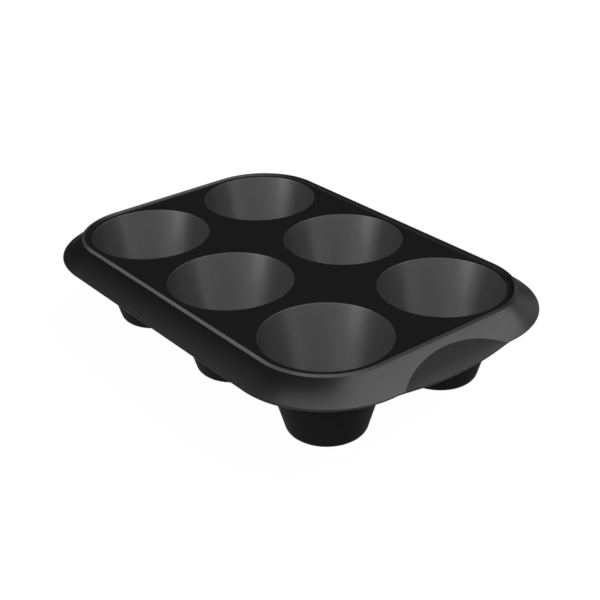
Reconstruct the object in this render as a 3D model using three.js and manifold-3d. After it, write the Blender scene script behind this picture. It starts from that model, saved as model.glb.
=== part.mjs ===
// A six-cup silicone muffin pan with a wire-stiffened rim, a flared skirt and a grip pad at each end.
// Millimetres, +Z up. X runs along the pan and Y across it.
// The origin is on the resting plane, under the middle of the pan.
import * as THREE from "three";
import { mergeVertices } from "three/addons/utils/BufferGeometryUtils.js";
import Module from "manifold-3d";

// Cups
const CUP_COLUMNS = 3;
const CUP_ROWS = 2;
const MOUTH_DIAMETER = 70;
const CUP_DEPTH = 55; // from the deck's top to the undersides that the pan stands on
const CUP_WALL = 2;
const CUP_FLOOR = 2;
const CUP_BASE_DIAMETER = 43; // outside, before the base edge is rounded
const CUP_BASE_ROUND = 3;
const MOUTH_EASE = 0.6;
const WEB_LONG = 8; // between neighbouring cups, along the pan
const WEB_WIDE = 8.5; // between neighbouring cups, across the pan

// Deck
const DECK_THICKNESS = 2.4;
const DECK_LIP_WIDTH = 1.5;
const DECK_LIP_RISE = 1;

// Rim band: its outer top edge is the outline that the rim, the skirt and the grips are offset from
const END_MARGIN = 4; // cup wall to the rim outline, at the ends
const SIDE_MARGIN = 4.5; // cup wall to the rim outline, at the sides
const RIM_RISE = 1.1; // crest above the deck
const LAND_WIDTH = 1.9;
const LAND_FALL = 0.7; // the land slopes down outwards
const SHOULDER_DROP = 2.2; // from the rim outline to where the skirt takes over
const LEDGE_WIDTH = 2; // carries the deck's edge

// Stiffening wire, in a groove under the band
const WIRE_DIAMETER = 2;
const WIRE_COVER = 0.5; // of the band's material over the groove
const WIRE_WALL = 1.6; // between the groove and the band's inner face
const GROOVE_LIP = 0.5; // under the groove
const GROOVE_MOUTH = 1.2;

// Skirt: flares out and down from the rim outline, a little flatter towards its edge
const SKIRT_RUN = 11.83; // to the end of the outer face, where the rounded edge begins
const SKIRT_DROP = 10.07;
const SKIRT_WALL = 1.6;
const SKIRT_BELL = THREE.MathUtils.degToRad(18); // how much the slope eases from top to edge

// Grip pads: fields of the skirt that lie a little under its face and run on past its edge
const GRIP_WIDTH = 71; // where the pad's crease meets the skirt's edge
const GRIP_REACH = 3; // past the skirt's edge
const GRIP_CREASE_DROP = 3.6; // from the rim outline to the top of the crease
const GRIP_SINK = 0.4; // of the pad's face under the skirt's
const GRIP_TIP_TRIM = 3.5; // off each pointed end of the pad
const ARCH_TILT = THREE.MathUtils.degToRad(11); // of the arch that cuts the crease

// Fits and facets
const CLEARANCE = 0.3;
const CUP_SEGMENTS = 40;
const RING_SEGMENTS = 48; // a multiple of 4
const ROUND_STEPS = 2;
const FLARE_STEPS = 6;
const LIP_STEPS = 3;
const WIRE_SIDES = 10;
const ARCH_STEPS = 20;
const MERGE_DISTANCE = 1e-4;

// Sizes that follow from those above
const deckTop = CUP_DEPTH;
const cupTopRadius = MOUTH_DIAMETER / 2 + CUP_WALL;
const cupTaper = (cupTopRadius - CUP_BASE_DIAMETER / 2) / CUP_DEPTH;
const pitchLong = 2 * cupTopRadius + WEB_LONG;
const pitchWide = 2 * cupTopRadius + WEB_WIDE;
const rimHalfLength = ((CUP_COLUMNS - 1) / 2) * pitchLong + cupTopRadius + END_MARGIN;
const rimHalfWidth = ((CUP_ROWS - 1) / 2) * pitchWide + cupTopRadius + SIDE_MARGIN;
const rimCorner = cupTopRadius + END_MARGIN;
const rimTop = deckTop + RIM_RISE - LAND_FALL;
const ledgeTop = deckTop - DECK_THICKNESS - CLEARANCE;
const grooveRadius = WIRE_DIAMETER / 2 + CLEARANCE;
const wireHeight = ledgeTop - WIRE_COVER - grooveRadius;
const bandBottom = wireHeight - grooveRadius - GROOVE_LIP;
const ledgeOffset = -LAND_WIDTH - LEDGE_WIDTH;
const wireOffset = ledgeOffset + WIRE_WALL + grooveRadius;

// The skirt's section is an arc: its chord falls SKIRT_DROP over SKIRT_RUN and it turns by SKIRT_BELL.
const skirtChord = Math.hypot(SKIRT_RUN, SKIRT_DROP);
const skirtRadius = skirtChord / (2 * Math.sin(SKIRT_BELL / 2));
const skirtTopSlope = Math.atan2(SKIRT_DROP, SKIRT_RUN) + SKIRT_BELL / 2;
const edgeMiddle = skirtPoint(1, SKIRT_WALL / 2);
const skirtEdgeOffset = edgeMiddle[0] + SKIRT_WALL / 2;
const skirtBottom = edgeMiddle[1] - SKIRT_WALL / 2;

const wasm = await Module();
wasm.setup();

const silicone = { roughness: 0.45, metalness: 0 };
const bodyBlack = new THREE.MeshStandardMaterial({ color: 0x1b1b1c, ...silicone });
const cupCharcoal = new THREE.MeshStandardMaterial({ color: 0x3a3a3b, ...silicone });
const wireSteel = new THREE.MeshStandardMaterial({ color: 0xb9bcc0, roughness: 0.3, metalness: 1 });

const pan = new THREE.Group();

// Solids and cuts

function solidOf(geometry) {
  const bare = geometry.clone();
  bare.deleteAttribute("normal");
  bare.deleteAttribute("uv");
  const merged = mergeVertices(bare, MERGE_DISTANCE);
  const vertProperties = merged.attributes.position.array;
  const triVerts = new Uint32Array(merged.index.array);
  return new wasm.Manifold(new wasm.Mesh({ numProp: 3, vertProperties, triVerts }));
}

function geometryOf(solid) {
  const mesh = solid.getMesh();
  const geometry = new THREE.BufferGeometry();
  geometry.setAttribute("position", new THREE.BufferAttribute(mesh.vertProperties, 3));
  geometry.setIndex(new THREE.BufferAttribute(mesh.triVerts, 1));
  geometry.computeVertexNormals();
  return geometry;
}

function addPart(name, geometry, material) {
  const mesh = new THREE.Mesh(geometry, material.clone());
  mesh.name = name;
  pan.add(mesh);
  return mesh;
}

// Turns a section of [radius, height] points about Z.
// A half step of phase keeps vertices off the X and Y axes.
function turned(section, segments) {
  const points = section.map(([radius, height]) => new THREE.Vector2(radius, height));
  const geometry = new THREE.LatheGeometry(points, segments, Math.PI / segments);
  return geometry.rotateX(Math.PI / 2);
}

// Pulls the four quarters of something round apart, so that it follows the rim's rounded rectangle.
function pulledApart(x, y) {
  return [
    x + Math.sign(x) * (rimHalfLength - rimCorner),
    y + Math.sign(y) * (rimHalfWidth - rimCorner),
  ];
}

// Facets stand on the true curve at their middles, so straight sides keep their distance.
const facetGrowth = 1 / Math.cos(Math.PI / RING_SEGMENTS);

// A closed section of [offset from the rim outline, height] points, carried round the rim.
function ringAround(section) {
  const closed = [...section, section[0]];
  const sized = closed.map(([offset, height]) => [(rimCorner + offset) * facetGrowth, height]);
  const geometry = turned(sized, RING_SEGMENTS);
  const position = geometry.attributes.position;
  for (let i = 0; i < position.count; i++) {
    const [x, y] = pulledApart(position.getX(i), position.getY(i));
    position.setXY(i, x, y);
  }
  return geometry;
}

// The rim outline moved out by an offset, as a flat shape with the same facets as ringAround.
function rimShape(offset) {
  const radius = (rimCorner + offset) * facetGrowth;
  const points = [];
  for (let i = 0; i < RING_SEGMENTS; i++) {
    const angle = ((2 * i + 1) * Math.PI) / RING_SEGMENTS;
    const [x, y] = pulledApart(radius * Math.cos(angle), radius * Math.sin(angle));
    points.push(new THREE.Vector2(x, y));
  }
  return new THREE.Shape(points);
}

// Points of the fillet between two straight runs that meet at a corner.
function filletAt(before, corner, after, radius) {
  const at = new THREE.Vector2(...corner);
  const back = new THREE.Vector2(...before).sub(at).normalize();
  const on = new THREE.Vector2(...after).sub(at).normalize();
  const half = Math.acos(back.dot(on)) / 2;
  const inward = back.clone().add(on).normalize();
  const centre = at.clone().addScaledVector(inward, radius / Math.sin(half));
  const start = at.clone().addScaledVector(back, radius / Math.tan(half)).sub(centre);
  const sweep = (Math.PI - 2 * half) * Math.sign(start.cross(inward.clone().negate()));
  return Array.from({ length: ROUND_STEPS + 1 }, (_, i) => {
    const point = start.clone().rotateAround(new THREE.Vector2(), (sweep * i) / ROUND_STEPS);
    return point.add(centre).toArray();
  });
}

// The skirt's section, at a depth inside its outer face and at a share of the way from top to edge.
function skirtPoint(share, depth) {
  const slope = skirtTopSlope - SKIRT_BELL * share;
  const radius = skirtRadius + depth;
  const offset = skirtRadius * Math.sin(skirtTopSlope) - radius * Math.sin(slope);
  const fall = radius * Math.cos(slope) - skirtRadius * Math.cos(skirtTopSlope);
  return [offset, rimTop - fall];
}

// Share of the way along the skirt where it is at a given height, at a depth inside its outer face.
function skirtShareAt(height, depth) {
  const radius = skirtRadius + depth;
  const cosine = (rimTop - height + skirtRadius * Math.cos(skirtTopSlope)) / radius;
  return (skirtTopSlope - Math.acos(cosine)) / SKIRT_BELL;
}

// Points along the skirt's section between two heights, at a depth inside its outer face.
function skirtRun(fromHeight, toHeight, depth) {
  const from = skirtShareAt(fromHeight, depth);
  const to = skirtShareAt(toHeight, depth);
  return Array.from({ length: FLARE_STEPS + 1 }, (_, i) =>
    skirtPoint(from + ((to - from) * i) / FLARE_STEPS, depth),
  );
}

// Cups: tapered, round-bottomed at the edge, flat underneath

function cupOuterRadius(height) {
  return CUP_BASE_DIAMETER / 2 + cupTaper * height;
}

function cupSection() {
  const outerBase = [CUP_BASE_DIAMETER / 2, 0];
  const outerTop = [cupTopRadius, deckTop];
  const innerBase = [cupOuterRadius(CUP_FLOOR) - CUP_WALL, CUP_FLOOR];
  const innerTop = [cupOuterRadius(deckTop - MOUTH_EASE) - CUP_WALL, deckTop - MOUTH_EASE];
  const mouth = [MOUTH_DIAMETER / 2 + MOUTH_EASE, deckTop];
  return [
    [0, 0],
    ...filletAt([0, 0], outerBase, outerTop, CUP_BASE_ROUND),
    outerTop,
    mouth,
    innerTop,
    ...filletAt(innerTop, innerBase, [0, CUP_FLOOR], CUP_BASE_ROUND),
    [0, CUP_FLOOR],
  ];
}

const cupCentres = [];
for (let row = 0; row < CUP_ROWS; row++) {
  for (let column = 0; column < CUP_COLUMNS; column++) {
    const x = (column - (CUP_COLUMNS - 1) / 2) * pitchLong;
    const y = (row - (CUP_ROWS - 1) / 2) * pitchWide;
    cupCentres.push({ x, y, name: `cup_row${row + 1}_${column + 1}` });
  }
}

const cupGeometry = turned(cupSection(), CUP_SEGMENTS);
for (const { x, y, name } of cupCentres) {
  addPart(name, cupGeometry, cupCharcoal).position.set(x, y, 0);
}

// Deck: a flat web with a tapered seat for each cup and a lip that sweeps up at the edge

const deckOffset = -LAND_WIDTH - CLEARANCE;

function deckPlate() {
  const plate = new THREE.ExtrudeGeometry(rimShape(deckOffset), {
    depth: DECK_THICKNESS,
    bevelEnabled: false,
  });
  return solidOf(plate.translate(0, 0, deckTop - DECK_THICKNESS));
}

function deckLip() {
  const root = deckTop - DECK_THICKNESS / 2;
  const ramp = Array.from({ length: LIP_STEPS + 1 }, (_, i) => {
    const share = i / LIP_STEPS;
    return [deckOffset - DECK_LIP_WIDTH * share, deckTop + DECK_LIP_RISE * (1 - share) ** 2];
  });
  const section = [[deckOffset - DECK_LIP_WIDTH, root], [deckOffset, root], ...ramp];
  return solidOf(ringAround(section));
}

function cupSeat({ x, y }) {
  const low = deckTop - DECK_THICKNESS - CLEARANCE;
  const high = deckTop + DECK_LIP_RISE + CLEARANCE;
  const section = [
    [0, low],
    [cupOuterRadius(low) + CLEARANCE, low],
    [cupOuterRadius(high) + CLEARANCE, high],
    [0, high],
  ];
  return solidOf(turned(section, CUP_SEGMENTS).translate(x, y, 0));
}

let deck = deckPlate().add(deckLip());
for (const centre of cupCentres) {
  deck = deck.subtract(cupSeat(centre));
}
addPart("deck_panel", geometryOf(deck), bodyBlack);

// Rim band: a raised land, a ledge under the deck's edge and a groove for the wire

const shoulderHeight = rimTop - SHOULDER_DROP;

function wireGroove() {
  const mouthAngle = Math.asin(GROOVE_MOUTH / 2 / grooveRadius);
  const turn = 2 * (Math.PI - mouthAngle);
  const round = Array.from({ length: WIRE_SIDES + 1 }, (_, i) => {
    const angle = -Math.PI / 2 + mouthAngle + (turn * i) / WIRE_SIDES;
    return [wireOffset + grooveRadius * Math.cos(angle), wireHeight + grooveRadius * Math.sin(angle)];
  });
  return [
    [wireOffset + GROOVE_MOUTH / 2, bandBottom],
    ...round,
    [wireOffset - GROOVE_MOUTH / 2, bandBottom],
  ];
}

const bandSection = [
  [ledgeOffset, ledgeTop],
  [ledgeOffset, bandBottom],
  ...wireGroove().reverse(),
  ...skirtRun(bandBottom, shoulderHeight, SKIRT_WALL + CLEARANCE),
  ...skirtRun(shoulderHeight, rimTop, 0),
  [-LAND_WIDTH, deckTop + RIM_RISE],
  [-LAND_WIDTH, ledgeTop],
];
addPart("rim_band", ringAround(bandSection), bodyBlack);

const wireSection = Array.from({ length: WIRE_SIDES }, (_, i) => {
  const angle = (2 * Math.PI * i) / WIRE_SIDES;
  return [
    wireOffset + (WIRE_DIAMETER / 2) * Math.cos(angle),
    wireHeight + (WIRE_DIAMETER / 2) * Math.sin(angle),
  ];
});
addPart("rim_wire", ringAround(wireSection), wireSteel);

// Skirt and grips: each grip fills an arched window of its own in the skirt

function skirtEdge() {
  const [offset, height] = edgeMiddle;
  const outward = Math.PI / 2 - (skirtTopSlope - SKIRT_BELL);
  const steps = 2 * ROUND_STEPS;
  return Array.from({ length: steps - 1 }, (_, i) => {
    const angle = outward - (Math.PI * (i + 1)) / steps;
    return [
      offset + (SKIRT_WALL / 2) * Math.cos(angle),
      height + (SKIRT_WALL / 2) * Math.sin(angle),
    ];
  });
}

function skirtSection() {
  const top = shoulderHeight - CLEARANCE;
  const outerEdge = skirtPoint(1, 0)[1];
  const innerEdge = skirtPoint(1, SKIRT_WALL)[1];
  const outer = skirtRun(top, outerEdge, 0);
  const inner = skirtRun(innerEdge, top, SKIRT_WALL);
  return [...outer, ...skirtEdge(), ...inner].reverse();
}

// The sheet that the grips are cut from: the skirt's section, carried on to beyond their reach.
function gripSheet() {
  const top = shoulderHeight - CLEARANCE;
  const beyond = 1 + (2 * GRIP_REACH) / skirtChord;
  const face = skirtRun(top, skirtPoint(beyond, GRIP_SINK)[1], GRIP_SINK);
  const underside = skirtRun(skirtPoint(beyond, SKIRT_WALL)[1], top, SKIRT_WALL);
  return solidOf(ringAround([...face, ...underside].reverse()));
}

const creaseHeight = rimTop - GRIP_CREASE_DROP;
const creaseOffset = skirtPoint(skirtShareAt(creaseHeight, 0), 0)[0];
const archFall = creaseHeight - Math.tan(ARCH_TILT) * (skirtEdgeOffset - creaseOffset) - skirtBottom;
const gripHalf = GRIP_WIDTH / 2;
const windowDepth = 2 * SKIRT_DROP;
const archRadius = (gripHalf ** 2 + archFall ** 2) / (2 * archFall);
const gripPlanRadius = (gripHalf ** 2 + GRIP_REACH ** 2) / (2 * GRIP_REACH);

// The space under an arch that runs out along +X, with the top of the arch on the crease.
function underArch(raise) {
  const shape = new THREE.Shape();
  const halfAngle = Math.asin((gripHalf + 2 * GRIP_TIP_TRIM) / archRadius);
  const up = Math.PI / 2;
  shape.absarc(0, -archRadius, archRadius, up - halfAngle, up + halfAngle, false);
  shape.absarc(0, -archRadius, archRadius - windowDepth, up + halfAngle, up - halfAngle, true);
  const length = 2 * (skirtEdgeOffset + GRIP_REACH);
  const slab = new THREE.ExtrudeGeometry(shape, {
    depth: length,
    bevelEnabled: false,
    curveSegments: ARCH_STEPS,
  });
  slab.translate(0, 0, -length / 2);
  slab.rotateX(Math.PI / 2).rotateZ(Math.PI / 2);
  slab.rotateY(ARCH_TILT);
  return solidOf(slab.translate(rimHalfLength + creaseOffset, 0, creaseHeight + raise));
}

// The grip's outline in plan, grown all round by an allowance.
function gripPlan(allowance) {
  const tip = gripHalf - GRIP_TIP_TRIM + allowance;
  const radius = gripPlanRadius + allowance;
  const centre = rimHalfLength + skirtEdgeOffset + GRIP_REACH - gripPlanRadius;
  const reach = Math.asin(tip / radius);
  const shape = new THREE.Shape();
  shape.moveTo(rimHalfLength, tip);
  shape.lineTo(rimHalfLength, -tip);
  shape.absarc(centre, 0, radius, -reach, reach, false);
  const plan = new THREE.ExtrudeGeometry(shape, {
    depth: windowDepth,
    bevelEnabled: false,
    curveSegments: ARCH_STEPS,
  });
  return solidOf(plan.translate(0, 0, rimTop - windowDepth));
}

const gripPad = gripSheet().intersect(underArch(0)).intersect(gripPlan(0));
const gripWindow = underArch(CLEARANCE).intersect(gripPlan(CLEARANCE));
const otherEnd = [0, 0, 180];
const skirt = solidOf(ringAround(skirtSection()))
  .subtract(gripWindow)
  .subtract(gripWindow.rotate(otherEnd));

addPart("skirt", geometryOf(skirt), bodyBlack);
addPart("grip_right", geometryOf(gripPad), bodyBlack);
addPart("grip_left", geometryOf(gripPad.rotate(otherEnd)), bodyBlack);

export default pan;
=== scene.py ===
"""A six-cup silicone muffin pan: fine meshes, finishes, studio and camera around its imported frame.

Metres, +Z up. X runs along the pan, Y across it, and the cups stand on z = 0.
A rim section is a list of (offset, height) points: the offset is measured outwards from the rim
outline, which is the rim's crisp outer edge seen in plan.
"""

from __future__ import annotations

import logging
import math
from collections.abc import Callable, Iterable
from dataclasses import dataclass
from enum import Enum
from functools import cached_property

import bmesh
import bpy
from mathutils import Matrix, Vector

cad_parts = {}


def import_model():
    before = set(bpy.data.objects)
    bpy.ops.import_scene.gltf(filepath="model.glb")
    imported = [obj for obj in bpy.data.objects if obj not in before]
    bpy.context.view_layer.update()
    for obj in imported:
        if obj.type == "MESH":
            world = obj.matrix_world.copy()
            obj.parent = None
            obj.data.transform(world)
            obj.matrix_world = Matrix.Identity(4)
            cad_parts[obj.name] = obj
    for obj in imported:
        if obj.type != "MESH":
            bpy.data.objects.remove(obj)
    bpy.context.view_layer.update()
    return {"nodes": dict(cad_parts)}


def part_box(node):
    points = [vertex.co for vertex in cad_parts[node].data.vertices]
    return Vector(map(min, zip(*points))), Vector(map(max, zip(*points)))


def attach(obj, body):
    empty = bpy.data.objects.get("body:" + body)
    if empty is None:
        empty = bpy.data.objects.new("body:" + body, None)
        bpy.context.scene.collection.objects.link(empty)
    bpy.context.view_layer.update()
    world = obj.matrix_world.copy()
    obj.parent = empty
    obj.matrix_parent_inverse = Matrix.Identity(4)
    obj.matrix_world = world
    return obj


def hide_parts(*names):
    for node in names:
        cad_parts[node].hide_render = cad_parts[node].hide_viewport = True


LOG = logging.getLogger("muffin_pan")
MM = 0.001
FULL_TURN = 2.0 * math.pi
NEAR = 1e-6
HALVINGS = 40
BODY = "root"
UV_NAME = "turned"
WHITE = (1.0, 1.0, 1.0, 1.0)

Section = list[tuple[float, float]]


class Slot(Enum):
    """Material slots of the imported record."""

    BODY = "silicone_body"
    CUP = "silicone_cup"
    WIRE = "wire_steel"


class Receiver(Enum):
    """Which softboxes light a thing: those for the body, its edge, the grip pads or the cups."""

    BODY = "body_pieces"
    EDGE = "edge_pieces"
    PADS = "pad_pieces"
    CUPS = "cup_pieces"

    def collection(self) -> bpy.types.Collection:
        """The collection of what is lit, made when it is first asked for."""
        return bpy.data.collections.get(self.value) or bpy.data.collections.new(self.value)

    def add(self, thing: bpy.types.Object) -> None:
        """Lets the softboxes of this kind light an object."""
        self.collection().objects.link(thing)


# Numbers and meshes


def shares(steps: int) -> list[float]:
    """Even shares from 0 to 1, both included."""
    return [i / steps for i in range(steps + 1)]


def mix(start: float, end: float, share: float) -> float:
    """Value at a share of the way from start to end."""
    return start + (end - start) * share


def last_true(test: Callable[[float], bool], low: float, high: float) -> float:
    """Finds by halving where a test changes from true to false.

    Args:
        test: Test of one value, true from low up to the change.
        low: Start of the range.
        high: End of the range.

    Returns:
        The last value at which the test is true.
    """
    for _ in range(HALVINGS):
        middle = (low + high) / 2.0
        if test(middle):
            low = middle
        else:
            high = middle
    return low


def turn_section(
    bm: bmesh.types.BMesh, points: Section, centre: Vector, steps: int, closed: bool
) -> None:
    """Turns a section about a vertical axis, half a step off the X and Y directions.

    Args:
        bm: Mesh that receives the turned surface.
        points: Section as (radius, height).
        centre: Point on the axis.
        steps: Facets of the full turn.
        closed: Whether the section's last point joins its first.
    """
    verts = [bm.verts.new((centre.x + radius, centre.y, height)) for radius, height in points]
    following = verts[1:] + verts[:1] if closed else verts[1:]
    edges = [bm.edges.new(pair) for pair in zip(verts, following)]
    axis = Vector((0.0, 0.0, 1.0))
    half_step = Matrix.Rotation(math.pi / steps, 3, axis)
    bmesh.ops.rotate(bm, verts=verts, cent=centre, matrix=half_step)
    bmesh.ops.spin(
        bm, geom=verts + edges, cent=centre, axis=axis, angle=FULL_TURN, steps=steps, use_merge=True
    )


def circle_edges(bm: bmesh.types.BMesh, radius: float, height: float) -> list[bmesh.types.BMEdge]:
    """Finds the edges that lie on one circle about the Z axis.

    Args:
        bm: Mesh that is searched.
        radius: Circle's radius.
        height: Circle's height.

    Returns:
        The edges of that circle.
    """

    def on_circle(vert: bmesh.types.BMVert) -> bool:
        """Whether a vertex is on the circle."""
        return abs(vert.co.xy.length - radius) < NEAR and abs(vert.co.z - height) < NEAR

    return [edge for edge in bm.edges if on_circle(edge.verts[0]) and on_circle(edge.verts[1])]


def round_edges(
    bm: bmesh.types.BMesh, edges: list[bmesh.types.BMEdge], radius: float, segments: int
) -> None:
    """Rounds edges with a circular bevel.

    Args:
        bm: Mesh that the edges are in.
        edges: Edges to round.
        radius: How far from each edge the rounding starts.
        segments: Facets of the rounding.
    """
    bmesh.ops.bevel(
        bm,
        geom=edges,
        offset=radius,
        offset_type="OFFSET",
        affect="EDGES",
        segments=segments,
        profile=0.5,
        material=-1,
        clamp_overlap=True,
    )


def make_piece(
    name: str, bm: bmesh.types.BMesh, crisp: float, materials: Iterable[bpy.types.Material]
) -> bpy.types.Object:
    """Closes a mesh off as a shown object at the origin.

    Args:
        name: Name of the object and of its mesh.
        bm: Finished mesh, which is freed.
        crisp: Angle in radians over which an edge stays sharp.
        materials: Finishes, in the order of the faces' material numbers.

    Returns:
        The new object.
    """
    bmesh.ops.remove_doubles(bm, verts=bm.verts, dist=NEAR)
    bmesh.ops.recalc_face_normals(bm, faces=bm.faces)
    mesh = bpy.data.meshes.new(name)
    bm.to_mesh(mesh)
    bm.free()
    mesh.shade_smooth()
    mesh.set_sharp_from_angle(angle=crisp)
    for material in materials:
        mesh.materials.append(material)
    piece = bpy.data.objects.new(name, mesh)
    bpy.context.scene.collection.objects.link(piece)
    return piece


def seat_piece(
    piece: bpy.types.Object, nodes: Iterable[str], receivers: Iterable[Receiver]
) -> None:
    """Hangs a piece on the pan's body in place of its CAD nodes.

    Args:
        piece: Finished object.
        nodes: CAD nodes that it stands for.
        receivers: Softboxes that light it.
    """
    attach(piece, BODY)
    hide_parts(*nodes)
    for receiver in receivers:
        receiver.add(piece)
    LOG.info("%s: %d faces", piece.name, len(piece.data.polygons))


# Finishes


class NodeSheet:
    """A node tree, with short calls for what the finishes and the room share."""

    def __init__(self, owner: bpy.types.Material | bpy.types.World) -> None:
        """Starts the tree of a material or a world."""
        owner.use_nodes = True
        self.tree = owner.node_tree

    @staticmethod
    def set(node: bpy.types.Node, **inputs: object) -> None:
        """Sets constants on a node's own sockets, named with underscores for spaces."""
        for key, value in inputs.items():
            node.inputs[key.replace("_", " ")].default_value = value

    def add(self, kind: str, **inputs: object) -> bpy.types.Node:
        """Adds a node.

        Args:
            kind: Type of the node.
            **inputs: Constants for its sockets, named with underscores for spaces.

        Returns:
            The new node.
        """
        node = self.tree.nodes.new(kind)
        self.set(node, **inputs)
        return node

    def link(self, output: bpy.types.NodeSocket, target: bpy.types.NodeSocket) -> None:
        """Joins an output to an input."""
        self.tree.links.new(output, target)


class FinishSheet(NodeSheet):
    """A material's node tree, round one Principled shader."""

    noise_low = 0.3
    noise_high = 0.7

    def __init__(self, name: str) -> None:
        """Starts a material of the given name."""
        self.material = bpy.data.materials.new(name)
        super().__init__(self.material)
        self.shader = self.tree.nodes["Principled BSDF"]

    def fix(self, **inputs: object) -> None:
        """Sets constants on the shader's own sockets."""
        self.set(self.shader, **inputs)

    def drive(self, socket: str, value: bpy.types.NodeSocket) -> None:
        """Lets a value that changes over the surface drive one of the shader's sockets."""
        self.link(value, self.shader.inputs[socket])

    def noise(self, vector: bpy.types.NodeSocket, scale: float, detail: float) -> bpy.types.NodeSocket:
        """Adds a soft random value between 0 and 1.

        Args:
            vector: Coordinates that it is laid over.
            scale: Waves to one unit of the coordinates.
            detail: Finer layers that are added.

        Returns:
            The value's socket.
        """
        node = self.add("ShaderNodeTexNoise", Scale=scale, Detail=detail)
        self.link(vector, node.inputs["Vector"])
        return node.outputs["Fac"]

    def ranged(self, noise: bpy.types.NodeSocket, low: float, high: float) -> bpy.types.NodeSocket:
        """Spreads the middle of a noise over a range.

        Args:
            noise: The noise's socket.
            low: Value at the low end of the noise.
            high: Value at its high end.

        Returns:
            The ranged value's socket.
        """
        node = self.add(
            "ShaderNodeMapRange",
            From_Min=self.noise_low,
            From_Max=self.noise_high,
            To_Min=low,
            To_Max=high,
        )
        self.link(noise, node.inputs["Value"])
        return node.outputs["Result"]

    def bump(self, height: bpy.types.NodeSocket, depth: float) -> None:
        """Gives the shader a fine relief.

        Args:
            height: Socket of the relief, from 0 to 1.
            depth: Its depth in metres.
        """
        node = self.add("ShaderNodeBump", Strength=1.0, Distance=depth)
        self.link(height, node.inputs["Height"])
        self.drive("Normal", node.outputs["Normal"])


@dataclass(frozen=True)
class SatinSilicone:
    """Black moulded silicone: satin, faintly clouded, with a fine mould grain."""

    name: str
    tone: float
    roughness: float
    shine: float
    cloud: float = 0.12
    cloud_scale: float = 45.0
    cloud_detail: float = 3.0
    rough_play: float = 0.02
    grain_scale: float = 1500.0
    grain_detail: float = 2.0
    grain_depth: float = 0.004 * MM

    def build(self) -> bpy.types.Material:
        """Makes the material.

        Returns:
            A node material on Object coordinates.
        """
        sheet = FinishSheet(self.name)
        place = sheet.add("ShaderNodeTexCoord").outputs["Object"]
        cloud = sheet.noise(place, self.cloud_scale, self.cloud_detail)
        dark, light = self.tone * (1.0 - self.cloud), self.tone * (1.0 + self.cloud)
        dull, bright = self.roughness + self.rough_play, self.roughness - self.rough_play
        sheet.drive("Base Color", sheet.ranged(cloud, dark, light))
        sheet.drive("Roughness", sheet.ranged(cloud, dull, bright))
        sheet.bump(sheet.noise(place, self.grain_scale, self.grain_detail), self.grain_depth)
        sheet.fix(Specular_IOR_Level=self.shine)
        return sheet.material


@dataclass(frozen=True)
class TurnedSilicone:
    """Cup lining, with the mould's turned grain: its shine spreads up and down the wall. Its tone is
    lighter than the body's, on the same silicone: this is painted light.
    """

    name: str
    tone: float
    roughness: float
    shine: float
    spread: float
    streak: float = 0.06
    streaks_up: float = 2.0
    streaks_round: float = 160.0
    streak_detail: float = 2.0
    rough_play: float = 0.02

    def build(self) -> bpy.types.Material:
        """Makes the material.

        Returns:
            A node material on the cup's own UV map, whose U runs up the wall.
        """
        sheet = FinishSheet(self.name)
        around = sheet.add("ShaderNodeUVMap")
        around.uv_map = UV_NAME
        stretch = sheet.add("ShaderNodeMapping", Scale=(self.streaks_up, self.streaks_round, 1.0))
        sheet.link(around.outputs["UV"], stretch.inputs["Vector"])
        streak = sheet.noise(stretch.outputs["Vector"], 1.0, self.streak_detail)
        dark, light = self.tone * (1.0 - self.streak), self.tone * (1.0 + self.streak)
        bright, dull = self.roughness - self.rough_play, self.roughness + self.rough_play
        sheet.drive("Base Color", sheet.ranged(streak, dark, light))
        sheet.drive("Roughness", sheet.ranged(streak, bright, dull))
        tangent = sheet.add("ShaderNodeTangent")
        tangent.direction_type = "UV_MAP"
        tangent.uv_map = UV_NAME
        sheet.drive("Tangent", tangent.outputs["Tangent"])
        sheet.fix(Anisotropic=self.spread, Specular_IOR_Level=self.shine)
        return sheet.material


@dataclass(frozen=True)
class DrawnSteel:
    """Drawn stainless wire."""

    name: str
    tone: float
    roughness: float
    dark_share: float = 0.9
    rough_play: float = 0.1
    grain_scale: float = 900.0
    grain_detail: float = 3.0

    def build(self) -> bpy.types.Material:
        """Makes the material.

        Returns:
            A metal with a fine drawn grain.
        """
        sheet = FinishSheet(self.name)
        place = sheet.add("ShaderNodeTexCoord").outputs["Object"]
        grain = sheet.noise(place, self.grain_scale, self.grain_detail)
        sheet.drive("Base Color", sheet.ranged(grain, self.tone * self.dark_share, self.tone))
        sheet.drive("Roughness", sheet.ranged(grain, self.roughness, self.roughness + self.rough_play))
        sheet.fix(Metallic=1.0)
        return sheet.material


@dataclass(frozen=True)
class FinishSet:
    """The pan's finishes, each built once."""

    body: bpy.types.Material
    outer: bpy.types.Material
    lining: bpy.types.Material
    wire: bpy.types.Material

    @classmethod
    def built(cls) -> FinishSet:
        """Builds every finish.

        Returns:
            The set of finished materials.
        """
        body = SatinSilicone("satin_black_silicone", tone=0.009, roughness=0.32, shine=0.5)
        # Painted shade: the cups' outside gets a darker copy of the body's silicone. It stands in for
        # the shade under the skirt.
        outer = SatinSilicone("matt_black_silicone", tone=0.005, roughness=0.55, shine=0.12)
        # Painted light: the lining's tone is three times the body's. It stands in for the light on the
        # cup walls.
        lining = TurnedSilicone("cup_lining_painted_light", tone=0.027, roughness=0.42, shine=0.6, spread=0.9)
        wire = DrawnSteel("drawn_steel", tone=0.56, roughness=0.28)
        return cls(body.build(), outer.build(), lining.build(), wire.build())


# The rim's outline and sections


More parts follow.
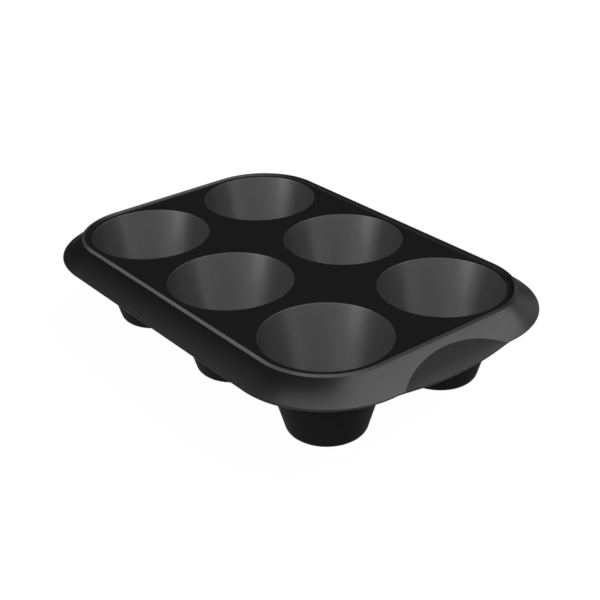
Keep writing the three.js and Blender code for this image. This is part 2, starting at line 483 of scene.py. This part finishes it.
@dataclass(frozen=True)
class RimPath:
    """The rim outline: a rounded rectangle that rim sections are carried round."""

    half_length: float
    half_width: float
    corner: float
    steps: int = 256

    def radius(self, offset: float) -> float:
        """Radius of a corner's vertices at an offset from the outline, so that the sides keep it."""
        return (self.corner + offset) / math.cos(math.pi / self.steps)

    def ring(self, section: Section, closed: bool) -> bmesh.types.BMesh:
        """Turns a rim section into a round ring, still to be pulled apart.

        Args:
            section: Points as (offset, height).
            closed: Whether the last point joins the first.

        Returns:
            A new mesh.
        """
        bm = bmesh.new()
        points = [(self.radius(offset), height) for offset, height in section]
        turn_section(bm, points, Vector(), self.steps, closed)
        return bm

    def pull_apart(self, bm: bmesh.types.BMesh) -> None:
        """Moves a ring's four quarters out to the corners of the rim.

        Args:
            bm: Mesh of the ring.
        """
        shifts = (self.half_length - self.corner, self.half_width - self.corner)
        for axis, shift in enumerate(shifts):
            for sign in (1.0, -1.0):
                side = [vert for vert in bm.verts if vert.co[axis] * sign > 0.0]
                move = Vector()
                move[axis] = sign * shift
                bmesh.ops.translate(bm, verts=side, vec=move)

    def divide_ends(self, bm: bmesh.types.BMesh, cuts: int) -> None:
        """Cuts a ring's straight end runs into even strips.

        Args:
            bm: Mesh of the ring, pulled apart.
            cuts: Cuts across each run.
        """
        straight = self.half_width - self.corner
        runs = [edge for edge in bm.edges if abs(edge.verts[0].co.y - edge.verts[1].co.y) > straight]
        bmesh.ops.subdivide_edges(bm, edges=runs, cuts=cuts, use_grid_fill=True)


@dataclass(frozen=True)
class Land:
    """The rim's narrow top, which falls from the crest at the deck's edge to the rim outline."""

    width: float = 1.9 * MM
    rise: float = 1.1 * MM
    fall: float = 0.7 * MM


@dataclass(frozen=True)
class Flare:
    """The skirt's section: an arc that falls away from the rim outline and eases towards its edge."""

    top: float
    run: float = 11.83 * MM
    drop: float = 10.35 * MM
    bell: float = math.radians(18.0)
    wall: float = 1.6 * MM
    inset: float = 0.28 * MM

    @cached_property
    def radius(self) -> float:
        """Radius of the outer face's arc."""
        return math.hypot(self.run, self.drop) / (2.0 * math.sin(self.bell / 2.0))

    @cached_property
    def top_slope(self) -> float:
        """Slope of the outer face at the rim outline."""
        return math.atan2(self.drop, self.run) + self.bell / 2.0

    @cached_property
    def brim(self) -> float:
        """Share of the way along at which the skirt's rounded edge ends."""
        return 1.0 + self.share_of(self.wall / 2.0 - self.inset)

    @cached_property
    def centre(self) -> tuple[float, float]:
        """Centre of the arc, as (offset, height)."""
        offset = self.radius * math.sin(self.top_slope)
        return offset, self.top + self.radius * math.cos(self.top_slope)

    def share_of(self, length: float) -> float:
        """Share that a length along the outer face stands for."""
        return length / (self.radius * self.bell)

    def point(self, share: float, depth: float) -> tuple[float, float]:
        """Point of the section.

        Args:
            share: Share of the way from the rim outline to the edge.
            depth: Depth inside the outer face.

        Returns:
            The point as (offset, height).
        """
        slope = self.top_slope - self.bell * share
        reach = self.radius + depth
        return self.centre[0] - reach * math.sin(slope), self.centre[1] - reach * math.cos(slope)

    def place(self, offset: float, height: float) -> tuple[float, float]:
        """Finds where a point of the section lies, the reverse of point().

        Args:
            offset: The point's offset.
            height: The point's height.

        Returns:
            Its place as (share, depth).
        """
        across, down = self.centre[0] - offset, self.centre[1] - height
        share = (self.top_slope - math.atan2(across, down)) / self.bell
        return share, math.hypot(across, down) - self.radius

    def share_at(self, height: float, depth: float) -> float:
        """Share of the way along at which the section is at a height."""
        slope = math.acos((self.centre[1] - height) / (self.radius + depth))
        return (self.top_slope - slope) / self.bell


# The pan


@dataclass(frozen=True)
class BakingCup:
    """One tapered cup, with a small rounded lip that stands in the deck."""

    node: str
    centre: Vector
    deck_top: float
    mouth_radius: float = 35.0 * MM
    base_radius: float = 21.5 * MM
    wall: float = 2.0 * MM
    floor: float = 2.0 * MM
    base_round: float = 3.0 * MM
    base_segments: int = 6
    lip_round: float = 0.34 * MM
    lip_segments: int = 5
    lip_width: float = 0.36 * MM
    lip_height: float = 0.5 * MM
    crisp: float = math.radians(40.0)
    steps: int = 128

    @property
    def inner_base(self) -> float:
        """Inside radius of the wall at the cup's floor."""
        return self.outer_radius(self.floor) - self.wall

    def outer_radius(self, height: float) -> float:
        """Outside radius of the tapered wall at a height."""
        return mix(self.base_radius, self.mouth_radius + self.wall, height / self.deck_top)

    def profile(self) -> Section:
        """Draws the cup's sharp section, from under its middle round to the top of its floor.

        Returns:
            Points as (radius, height).
        """
        seat = self.deck_top - self.lip_height
        lip_radius = self.mouth_radius + self.lip_width
        return [
            (0.0, 0.0),
            (self.base_radius, 0.0),
            (self.outer_radius(seat), seat),
            (lip_radius, seat),
            (lip_radius, self.deck_top),
            (self.mouth_radius, self.deck_top),
            (self.inner_base, self.floor),
            (0.0, self.floor),
        ]

    def is_inside(self, point: Vector) -> bool:
        """Tells the cup's lining, the rounded lip included, from its outside.

        Args:
            point: Point of the cup's surface.

        Returns:
            Whether the point is on the lining.
        """
        radius = (point.xy - self.centre.xy).length
        within = radius < self.outer_radius(point.z) - self.wall / 2.0
        return within and self.floor / 2.0 < point.z < self.deck_top - NEAR

    def unwrap(self, bm: bmesh.types.BMesh) -> None:
        """Lays a UV map with U up the wall and V round the cup.

        Args:
            bm: Mesh of the cup, in its place.
        """
        layer = bm.loops.layers.uv.new(UV_NAME)
        for face in bm.faces:
            middle = face.calc_center_median() - self.centre
            facing = math.atan2(middle.y, middle.x)
            for loop in face.loops:
                arm = loop.vert.co - self.centre
                turn = math.remainder(math.atan2(arm.y, arm.x) - facing, FULL_TURN)
                on_axis = arm.xy.length < NEAR
                angle = facing if on_axis else facing + turn
                loop[layer].uv = ((arm.xy.length + arm.z) / self.deck_top, angle / FULL_TURN)

    def build(self, finishes: FinishSet) -> bpy.types.Object:
        """Makes and dresses the cup.

        Args:
            finishes: The pan's finishes.

        Returns:
            The cup's object.
        """
        bm = bmesh.new()
        turn_section(bm, self.profile(), Vector(), self.steps, closed=False)
        bmesh.ops.remove_doubles(bm, verts=bm.verts, dist=NEAR)
        bmesh.ops.recalc_face_normals(bm, faces=bm.faces)
        for radius, height in ((self.base_radius, 0.0), (self.inner_base, self.floor)):
            round_edges(bm, circle_edges(bm, radius, height), self.base_round, self.base_segments)
        lip = circle_edges(bm, self.mouth_radius, self.deck_top)
        round_edges(bm, lip, self.lip_round, self.lip_segments)
        bmesh.ops.translate(bm, verts=bm.verts, vec=self.centre)
        self.unwrap(bm)
        for face in bm.faces:
            # Lining faces take the finish painted lighter (painted light). Outside faces take the one
            # painted darker (painted shade).
            face.material_index = int(self.is_inside(face.calc_center_median()))
        piece = make_piece(f"baking_{self.node}", bm, self.crisp, [finishes.outer, finishes.lining])
        seat_piece(piece, [self.node], [Receiver.CUPS])
        return piece


@dataclass(frozen=True)
class Deck:
    """The flat web between the cups, which sweeps up to the rim's crest at its edge."""

    path: RimPath
    land: Land
    cups: list[BakingCup]
    deck_top: float
    ramp_slope: float = math.radians(33.0)
    fillet_share: float = 0.6
    thickness: float = 2.4 * MM
    fit: float = 0.03 * MM
    crisp: float = math.radians(30.0)
    fillet_steps: int = 10

    @property
    def underside(self) -> float:
        """Height of the flat underside."""
        return self.deck_top - self.thickness

    def ramp(self) -> Section:
        """Draws the deck's edge, from the flat top round to the flat underside.

        A fillet turns the flat top into a steady slope, which rises to the crest.

        Returns:
            Points as (offset, height).
        """
        crest_offset = -self.land.width - self.fit
        run = self.land.rise / (math.tan(self.ramp_slope) * (1.0 - self.fillet_share / 2.0))
        fillet = run * self.fillet_share
        start = crest_offset - run
        bow = math.tan(self.ramp_slope) / (2.0 * fillet)
        rising = [
            (start + fillet * share, self.deck_top + bow * (fillet * share) ** 2)
            for share in shares(self.fillet_steps)
        ]
        crest = (crest_offset, self.deck_top + self.land.rise)
        return [*rising, crest, (crest_offset, self.underside), (start, self.underside)]

    def seat(self, cup: BakingCup) -> Section:
        """Draws a cup's seat, from the flat top round to the flat underside.

        Args:
            cup: The cup that hangs in it.

        Returns:
            Points as (radius, height).
        """
        mouth = cup.mouth_radius + cup.lip_width + self.fit
        ledge = self.deck_top - cup.lip_height + self.fit
        return [
            (mouth, self.deck_top),
            (mouth, ledge),
            (cup.outer_radius(ledge) + self.fit, ledge),
            (cup.outer_radius(self.underside) + self.fit, self.underside),
        ]

    def in_mouth(self, point: Vector) -> bool:
        """Whether a point is inside one of the cups' mouths."""
        return any((point - cup.centre).xy.length < cup.mouth_radius for cup in self.cups)

    def build(self, finishes: FinishSet) -> bpy.types.Object:
        """Makes and dresses the deck.

        Args:
            finishes: The pan's finishes.

        Returns:
            The deck's object.
        """
        bm = self.path.ring(self.ramp(), closed=False)
        self.path.pull_apart(bm)
        for cup in self.cups:
            turn_section(bm, self.seat(cup), cup.centre, cup.steps, closed=False)
        for height in (self.deck_top, self.underside):
            loops = [
                edge
                for edge in bm.edges
                if edge.is_boundary and all(abs(vert.co.z - height) < NEAR for vert in edge.verts)
            ]
            bmesh.ops.triangle_fill(bm, edges=loops, use_beauty=True, use_dissolve=False)
        plugs = [face for face in bm.faces if self.in_mouth(face.calc_center_median())]
        bmesh.ops.delete(bm, geom=plugs, context="FACES")
        piece = make_piece("deck_web", bm, self.crisp, [finishes.body])
        seat_piece(piece, ["deck_panel"], [Receiver.BODY])
        return piece


@dataclass(frozen=True)
class Rim:
    """The raised land round the deck, with a ledge under the deck and a grooved bead for the wire."""

    path: RimPath
    land: Land
    flare: Flare
    deck_top: float
    ledge_drop: float = 2.7 * MM
    ledge_width: float = 2.0 * MM
    bead_bottom: float = 6.3 * MM
    wire_offset: float = -1.0 * MM
    wire_drop: float = 4.5 * MM
    wire_radius: float = 1.0 * MM
    groove_radius: float = 1.3 * MM
    groove_mouth: float = 1.2 * MM
    fit: float = 0.04 * MM
    crisp: float = math.radians(15.0)
    wire_crisp: float = math.radians(60.0)
    groove_steps: int = 20
    flare_steps: int = 10

    def around_wire(self, radius: float, angle: float) -> tuple[float, float]:
        """Point at a radius and an angle round the wire's middle, as (offset, height)."""
        height = self.deck_top - self.wire_drop + radius * math.sin(angle)
        return self.wire_offset + radius * math.cos(angle), height

    def groove(self, bottom: float) -> Section:
        """Draws the wire's groove, from the outer lip of its mouth round to the inner one.

        Args:
            bottom: Height of the bead's underside, where the groove is open.

        Returns:
            Points as (offset, height).
        """
        half_mouth = self.groove_mouth / 2.0
        open_angle = math.asin(half_mouth / self.groove_radius)
        turn = 2.0 * (math.pi - open_angle)
        first = -math.pi / 2.0 + open_angle
        angles = [first + turn * share for share in shares(self.groove_steps)]
        around = [self.around_wire(self.groove_radius, angle) for angle in angles]
        lips = [(self.wire_offset + side * half_mouth, bottom) for side in (1.0, -1.0)]
        return [lips[0], *around, lips[1]]

    def section(self) -> Section:
        """Draws the land, the skirt's seat, the wire bead and the ledge.

        Returns:
            Points of a closed section, as (offset, height).
        """
        bottom = self.deck_top - self.bead_bottom
        depth = self.flare.wall + self.fit
        last = self.flare.share_at(bottom, depth)
        seat = [self.flare.point(last * share, depth) for share in shares(self.flare_steps)]
        ledge = self.deck_top - self.ledge_drop
        inner = -self.land.width - self.ledge_width
        return [
            (-self.land.width, self.deck_top + self.land.rise),
            self.flare.point(0.0, 0.0),
            *seat,
            *self.groove(bottom),
            (inner, bottom),
            (inner, ledge),
            (-self.land.width, ledge),
        ]

    def build(self, finishes: FinishSet) -> bpy.types.Object:
        """Makes and dresses the rim.

        Args:
            finishes: The pan's finishes.

        Returns:
            The rim's object.
        """
        bm = self.path.ring(self.section(), closed=True)
        self.path.pull_apart(bm)
        piece = make_piece("raised_rim", bm, self.crisp, [finishes.body])
        seat_piece(piece, ["rim_band"], [Receiver.BODY, Receiver.EDGE])
        return piece

    def build_wire(self, finishes: FinishSet) -> bpy.types.Object:
        """Makes and dresses the wire ring in the rim's groove.

        Args:
            finishes: The pan's finishes.

        Returns:
            The wire's object.
        """
        turns = [FULL_TURN * share for share in shares(self.groove_steps)[:-1]]
        round_bar = [self.around_wire(self.wire_radius, turn) for turn in turns]
        bm = self.path.ring(round_bar, closed=True)
        self.path.pull_apart(bm)
        piece = make_piece("wire_ring", bm, self.wire_crisp, [finishes.wire])
        seat_piece(piece, ["rim_wire"], [Receiver.BODY])
        return piece


class End(Enum):
    """The pan's two short ends: the sign of X there."""

    RIGHT = 1.0
    LEFT = -1.0


@dataclass(frozen=True)
class GripPad:
    """A field at each end of the skirt: it sinks from an arched crease and runs past the edge."""

    path: RimPath
    flare: Flare
    width: float = 75.0 * MM
    reach: float = 3.3 * MM
    spread: float = 80.0 * MM
    bulge_power: float = 1.15
    crease_drop: float = 3.0 * MM
    crease_limit: float = 2.0
    arch_tilt: float = math.radians(11.0)
    sink: float = 1.1 * MM
    edge_wall: float = 0.8 * MM
    edge_round: float = 0.3 * MM
    least_run: float = 0.3 * MM
    crisp: float = math.radians(35.0)
    length_steps: int = 18
    width_steps: int = 110
    edge_steps: int = 4

    @cached_property
    def crest(self) -> tuple[float, float]:
        """Highest point of the crease, as (offset, height)."""
        height = self.flare.top - self.crease_drop
        return self.flare.point(self.flare.share_at(height, 0.0), 0.0)[0], height

    @cached_property
    def arch_radius(self) -> float:
        """Radius of the arch that cuts the crease, from its crest to the pad's tips.

        Returns:
            The radius, seen along the pan.
        """
        crest_offset, crest_height = self.crest
        edge_offset, edge_height = self.flare.point(1.0, self.flare.wall / 2.0)
        fall = crest_height - math.tan(self.arch_tilt) * (edge_offset - crest_offset) - edge_height
        return ((self.width / 2.0) ** 2 + fall**2) / (2.0 * fall)

    def arch(self, offset: float, across: float) -> float:
        """Finds the height of the tilted arch that cuts the crease.

        Args:
            offset: Offset from the rim outline.
            across: Distance across from the end's middle.

        Returns:
            The arch's height there.
        """
        crest_offset, crest_height = self.crest
        sag = self.arch_radius - math.sqrt(self.arch_radius**2 - across**2)
        return crest_height - math.tan(self.arch_tilt) * (offset - crest_offset) - sag

    def crease_share(self, across: float) -> float:
        """Finds where the skirt's face meets the arch.

        Args:
            across: Distance across from the end's middle.

        Returns:
            Share of the way down the skirt.
        """

        def above_arch(share: float) -> bool:
            """Whether the skirt's face is still above the arch."""
            offset, height = self.flare.point(share, 0.0)
            return height > self.arch(offset, across)

        return last_true(above_arch, 0.0, self.crease_limit)

    def edge_share(self, across: float) -> float:
        """Share of the way down at which the edge is: it bulges softly past the skirt's own."""
        tip = min(1.0, abs(across) / (self.spread / 2.0))
        return self.flare.brim + self.flare.share_of(self.reach) * (1.0 - tip**2) ** self.bulge_power

    def face_shares(self, across: float) -> tuple[float, float]:
        """Shares at which the pad's face starts, at the crease, and ends, at its rounded edge."""
        start = self.crease_share(across)
        return start, max(start, self.edge_share(across) - self.flare.share_of(self.edge_round))

    @property
    def half(self) -> float:
        """Finds where the pad's face runs out.

        Returns:
            Distance from the middle of the end to the pad's tips.
        """
        least = self.flare.share_of(self.least_run)

        def has_face(across: float) -> bool:
            """Whether the pad's face is still long enough."""
            start, end = self.face_shares(across)
            return end - start > least

        return last_true(has_face, 0.0, self.spread / 2.0)

    def section(self) -> Section:
        """Draws a plain slab: its face from 0 to 1, then its rounded edge, with its wall as 1.

        Returns:
            Points of a closed section, as (along, down).
        """
        corner = self.edge_round / self.edge_wall
        face = [(share, 0.0) for share in shares(self.length_steps)]
        turns = [math.pi / 2.0 * share for share in shares(self.edge_steps)[1:]]
        upper = [(1.0 + math.sin(turn), corner * (math.cos(turn) - 1.0)) for turn in turns]
        lower = [(along, -1.0 - down) for along, down in reversed(upper)]
        underside = [(share, -1.0) for share, _ in reversed(face)]
        return face + upper + lower + underside

    def shape(self, plain: Vector, longest: float) -> Vector:
        """Moves a point of the plain slab to its place on the right-hand pad.

        Args:
            plain: Point with its share along as x, its place across as y and its share of the wall as z.
            longest: Length of the face in the middle of the pad, as a share of the skirt.

        Returns:
            The point on the pad.
        """
        start, end = self.face_shares(plain.y)
        along = min(plain.x, 1.0)
        past = plain.x - along
        share = mix(start, end, along) + past * self.flare.share_of(self.edge_round)
        fullness = (end - start) / longest
        depth = self.sink * fullness * (1.0 - (1.0 - along) ** 2)
        wall = mix(self.flare.wall, self.edge_wall, along * fullness)
        offset, height = self.flare.point(share, depth - plain.z * wall)
        return Vector((self.path.half_length + offset, plain.y, height))

    def build(self, end: End, finishes: FinishSet) -> bpy.types.Object:
        """Makes and dresses one pad.

        Args:
            end: The end of the pan that it is on.
            finishes: The pan's finishes.

        Returns:
            The pad's object.
        """
        half = self.half
        middle_start, middle_end = self.face_shares(0.0)
        bm = bmesh.new()
        verts = [bm.verts.new((along, -half, down)) for along, down in self.section()]
        edges = [bm.edges.new(pair) for pair in zip(verts, verts[1:] + verts[:1])]
        bmesh.ops.spin(
            bm,
            geom=verts + edges,
            cent=Vector(),
            axis=Vector((0.0, 1.0, 0.0)),
            dvec=Vector((0.0, 2.0 * half / self.width_steps, 0.0)),
            angle=0.0,
            steps=self.width_steps,
        )
        ends = [edge for edge in bm.edges if edge.is_boundary]
        bmesh.ops.holes_fill(bm, edges=ends, sides=0)
        for vert in bm.verts:
            vert.co = self.shape(vert.co, middle_end - middle_start)
        if end is End.LEFT:
            half_turn = Matrix.Rotation(math.pi, 3, "Z")
            bmesh.ops.rotate(bm, verts=bm.verts, cent=Vector(), matrix=half_turn)
        side = end.name.lower()
        piece = make_piece(f"grip_pad_{side}", bm, self.crisp, [finishes.body])
        seat_piece(piece, [f"grip_{side}"], [Receiver.PADS])
        return piece


@dataclass(frozen=True)
class Skirt:
    """The flared skirt, cut back along each pad's crease."""

    path: RimPath
    flare: Flare
    grip: GripPad
    edge_round: float = 0.3 * MM
    edge_segments: int = 4
    crisp: float = math.radians(40.0)
    flare_steps: int = 20
    end_cuts: int = 120

    def open_windows(self, bm: bmesh.types.BMesh) -> None:
        """Draws the skirt's end runs up to each pad's crease, and out beside its tips.

        Args:
            bm: Mesh of the skirt, with its end runs divided.
        """
        lap = self.flare.share_of(self.edge_round)
        for vert in bm.verts:
            on_end = abs(vert.co.x) > self.path.half_length - self.path.corner
            if not on_end or abs(vert.co.y) > self.grip.spread / 2.0:
                continue
            share, depth = self.flare.place(abs(vert.co.x) - self.path.half_length, vert.co.z)
            limit = min(self.grip.edge_share(vert.co.y), self.grip.crease_share(vert.co.y) + lap)
            offset, height = self.flare.point(share * limit / self.flare.brim, depth)
            vert.co.x = math.copysign(self.path.half_length + offset, vert.co.x)
            vert.co.z = height

    def build(self, finishes: FinishSet) -> bpy.types.Object:
        """Makes and dresses the skirt.

        Args:
            finishes: The pan's finishes.

        Returns:
            The skirt's object.
        """
        steps = [self.flare.brim * share for share in shares(self.flare_steps)]
        outer = [self.flare.point(share, 0.0) for share in steps]
        inner = [self.flare.point(share, self.flare.wall) for share in reversed(steps)]
        bm = self.path.ring(outer + inner, closed=True)
        bmesh.ops.recalc_face_normals(bm, faces=bm.faces)
        brims = [
            edge
            for offset, height in (outer[-1], inner[0])
            for edge in circle_edges(bm, self.path.radius(offset), height)
        ]
        round_edges(bm, brims, self.edge_round, self.edge_segments)
        self.path.pull_apart(bm)
        self.path.divide_ends(bm, self.end_cuts)
        self.open_windows(bm)
        piece = make_piece("flared_skirt", bm, self.crisp, [finishes.body])
        seat_piece(piece, ["skirt"], [Receiver.BODY, Receiver.EDGE])
        return piece


@dataclass(frozen=True)
class MuffinPan:
    """The whole pan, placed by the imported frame."""

    cups: list[BakingCup]
    deck_top: float
    path: RimPath
    land: Land
    seam: float = 0.3 * MM

    @classmethod
    def from_frame(cls, nodes: Iterable[str]) -> MuffinPan:
        """Reads the pan's places from the frame's boxes.

        Args:
            nodes: Names of the CAD nodes.

        Returns:
            The pan, still to be built.
        """
        boxes = {node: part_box(node) for node in sorted(nodes) if node.startswith("cup_")}
        deck_top = max(high.z for _, high in boxes.values())
        middles = {node: (low + high) / 2.0 for node, (low, high) in boxes.items()}
        cups = [
            BakingCup(node, Vector((middle.x, middle.y, 0.0)), deck_top)
            for node, middle in middles.items()
        ]
        land = Land()
        past_deck = land.width + cls.seam
        deck_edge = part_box("deck_panel")[1]
        half_length = deck_edge.x + past_deck
        end_cup = max(middle.x for middle in middles.values())
        path = RimPath(half_length, deck_edge.y + past_deck, half_length - end_cup)
        return cls(cups, deck_top, path, land)

    def build(self, finishes: FinishSet) -> None:
        """Builds every piece in order, from the cups outwards.

        Args:
            finishes: The pan's finishes.
        """
        for cup in self.cups:
            cup.build(finishes)
        Deck(self.path, self.land, self.cups, self.deck_top).build(finishes)
        flare = Flare(self.deck_top + self.land.rise - self.land.fall)
        rim = Rim(self.path, self.land, flare, self.deck_top)
        rim.build(finishes)
        rim.build_wire(finishes)
        grip = GripPad(self.path, flare)
        Skirt(self.path, flare, grip).build(finishes)
        for end in End:
            grip.build(end, finishes)


# Studio


@dataclass(frozen=True)
class Softbox:
    """A large soft light far from the pan, which it faces. Its angles are in degrees.

    Its place is (azimuth, elevation), with the azimuth turning from +X to +Y. Its half size is half
    the angle that it fills, as (wide, tall).
    """

    name: str
    receiver: Receiver
    place: tuple[float, float]
    half_size: tuple[float, float]
    radiance: float
    distance: float = 10.0

    def build(self) -> None:
        """Hangs the light, hidden from the camera."""
        azimuth, elevation = (math.radians(angle) for angle in self.place)
        level = math.cos(elevation)
        toward = Vector((math.cos(azimuth) * level, math.sin(azimuth) * level, math.sin(elevation)))
        wide, tall = (2.0 * self.distance * math.tan(math.radians(half)) for half in self.half_size)
        lamp = bpy.data.lights.new(self.name, "AREA")
        lamp.shape = "RECTANGLE"
        lamp.size = wide
        lamp.size_y = tall
        lamp.energy = self.radiance * math.pi * wide * tall
        holder = bpy.data.objects.new(self.name, lamp)
        holder.location = toward * self.distance
        holder.rotation_euler = toward.to_track_quat("Z", "Y").to_euler()
        holder.visible_camera = False
        holder.light_linking.receiver_collection = self.receiver.collection()
        bpy.context.scene.collection.objects.link(holder)


@dataclass(frozen=True)
class Studio:
    """A white lit floor, a white backdrop, a dark room for reflections and the softboxes."""

    floor_half: float = 30.0
    floor_cells: int = 2
    floor_gap: float = 0.02 * MM
    floor_tone: float = 0.04
    floor_glow: float = 0.985
    backdrop_tone: float = 1.0
    room_tone: float = 0.015
    mirrored_floor_tone: float = 0.3
    floor_near: float = -0.45
    floor_far: float = -0.15
    softboxes: tuple[Softbox, ...] = (
        Softbox("right_high", Receiver.BODY, (41.0, 44.0), (30.0, 22.0), 2.4),
        Softbox("right_low", Receiver.BODY, (97.0, 14.0), (17.0, 13.0), 0.45),
        Softbox("overhead", Receiver.BODY, (110.0, 75.0), (22.0, 17.0), 1.8),
        Softbox("left_dim", Receiver.BODY, (172.0, 47.0), (12.0, 8.0), 0.5),
        Softbox("left_high", Receiver.EDGE, (176.0, 43.0), (12.0, 9.0), 1.9),
        Softbox("left_middle", Receiver.EDGE, (161.0, 24.0), (5.0, 8.0), 1.8),
        Softbox("left_low", Receiver.EDGE, (158.0, 13.0), (5.0, 5.0), 0.5),
        Softbox("left_fill", Receiver.EDGE, (-152.0, 46.0), (13.0, 16.0), 0.28),
        Softbox("front_fill", Receiver.EDGE, (-58.0, 79.0), (27.0, 14.0), 1.6),
        Softbox("front_dim", Receiver.EDGE, (-6.0, 48.0), (11.0, 10.0), 0.5),
        Softbox("front_low", Receiver.EDGE, (-45.0, 20.0), (40.0, 20.0), 0.35),
        Softbox("corner_high", Receiver.EDGE, (160.0, 62.0), (9.0, 9.0), 1.4),
        Softbox("pad_broad", Receiver.PADS, (44.0, 38.0), (40.0, 30.0), 0.66),
        Softbox("pad_high", Receiver.PADS, (82.0, 60.0), (18.0, 12.0), 1.15),
        Softbox("pad_far", Receiver.PADS, (-115.0, 42.0), (30.0, 24.0), 0.8),
        Softbox("cup_overhead", Receiver.CUPS, (141.5, 80.0), (30.0, 30.0), 0.85),
        Softbox("cup_strip", Receiver.CUPS, (-111.0, 52.0), (17.0, 14.0), 7.8),
        Softbox("cup_strip_low", Receiver.CUPS, (-91.0, 12.0), (12.0, 8.0), 4.5),
        Softbox("cup_broad", Receiver.CUPS, (-20.0, 54.0), (44.0, 16.0), 3.95),
        Softbox("cup_left", Receiver.CUPS, (65.0, 50.0), (30.0, 16.0), 1.4),
    )

    def build_floor(self) -> None:
        """Lays the floor just under the cups: it glows, so that only a faint shadow shows."""
        cells = self.floor_cells
        drop = Matrix.Translation((0.0, 0.0, -self.floor_gap))
        bm = bmesh.new()
        bmesh.ops.create_grid(bm, x_segments=cells, y_segments=cells, size=self.floor_half, matrix=drop)
        mesh = bpy.data.meshes.new("studio_floor")
        bm.to_mesh(mesh)
        bm.free()
        floor = bpy.data.objects.new("studio_floor", mesh)
        bpy.context.scene.collection.objects.link(floor)
        sheet = FinishSheet("white_floor")
        tone = (self.floor_tone, self.floor_tone, self.floor_tone, 1.0)
        sheet.fix(Base_Color=tone, Roughness=1.0, Specular_IOR_Level=0.0)
        sheet.fix(Emission_Color=WHITE, Emission_Strength=self.floor_glow)
        mesh.materials.append(sheet.material)
        floor.visible_glossy = False
        Receiver.BODY.add(floor)

    def build_world(self) -> None:
        """Sets a white backdrop to look at, and a dark room over a dim floor for reflections."""
        world = bpy.data.worlds.new("studio_room")
        sheet = NodeSheet(world)
        parts = sheet.add("ShaderNodeSeparateXYZ")
        sheet.link(sheet.add("ShaderNodeTexCoord").outputs["Generated"], parts.inputs["Vector"])
        room = sheet.add(
            "ShaderNodeMapRange",
            From_Min=self.floor_near,
            From_Max=self.floor_far,
            To_Min=self.mirrored_floor_tone,
            To_Max=self.room_tone,
        )
        sheet.link(parts.outputs["Z"], room.inputs["Value"])
        rays = sheet.add("ShaderNodeLightPath")
        level = sheet.add("ShaderNodeMapRange", To_Max=self.backdrop_tone)
        sheet.link(rays.outputs["Is Camera Ray"], level.inputs["Value"])
        sheet.link(room.outputs["Result"], level.inputs["To Min"])
        sheet.link(level.outputs["Result"], sheet.tree.nodes["Background"].inputs["Color"])
        bpy.context.scene.world = world

    def build(self) -> None:
        """Builds the floor, the room and the lights."""
        self.build_floor()
        self.build_world()
        for softbox in self.softboxes:
            softbox.build()
        bpy.context.scene.view_settings.view_transform = "Standard"


@dataclass(frozen=True)
class PhotoCamera:
    """Camera at the photograph's viewing angle, aimed at a point of the deck's top plane."""

    azimuth: float = math.radians(51.52)
    elevation: float = math.radians(28.104)
    roll: float = math.radians(-1.247)
    distance: float = 628.7 * MM
    aim: tuple[float, float] = (44.17 * MM, -27.28 * MM)
    lens: float = 70.25
    sensor: float = 36.0
    frame_pixels: float = 600.0
    shift_pixels: tuple[float, float] = (-0.4, 0.4)

    def build(self, deck_top: float) -> None:
        """Makes the camera and gives it to the scene.

        Args:
            deck_top: Height of the deck's top plane.
        """
        level = math.cos(self.elevation)
        sine, cosine = math.sin(self.azimuth), math.cos(self.azimuth)
        back = Vector((sine * level, -cosine * level, math.sin(self.elevation)))
        right = Vector((cosine, sine, 0.0))
        up = back.cross(right)
        rolled_right = right * math.cos(self.roll) + up * math.sin(self.roll)
        rolled_up = back.cross(rolled_right)
        pose = Matrix((rolled_right, rolled_up, back)).transposed().to_4x4()
        pose.translation = Vector((*self.aim, deck_top)) + back * self.distance
        lens = bpy.data.cameras.new("photo_camera")
        lens.lens = self.lens
        lens.sensor_width = self.sensor
        lens.shift_x, lens.shift_y = (pixels / self.frame_pixels for pixels in self.shift_pixels)
        holder = bpy.data.objects.new("photo_camera", lens)
        holder.matrix_world = pose
        bpy.context.scene.collection.objects.link(holder)
        bpy.context.scene.camera = holder


def main() -> None:
    logging.basicConfig(level=logging.INFO, format="%(name)s: %(message)s")
    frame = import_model()
    pan = MuffinPan.from_frame(frame["nodes"])
    PhotoCamera().build(pan.deck_top)
    pan.build(FinishSet.built())
    Studio().build()


if __name__ == "__main__":
    main()
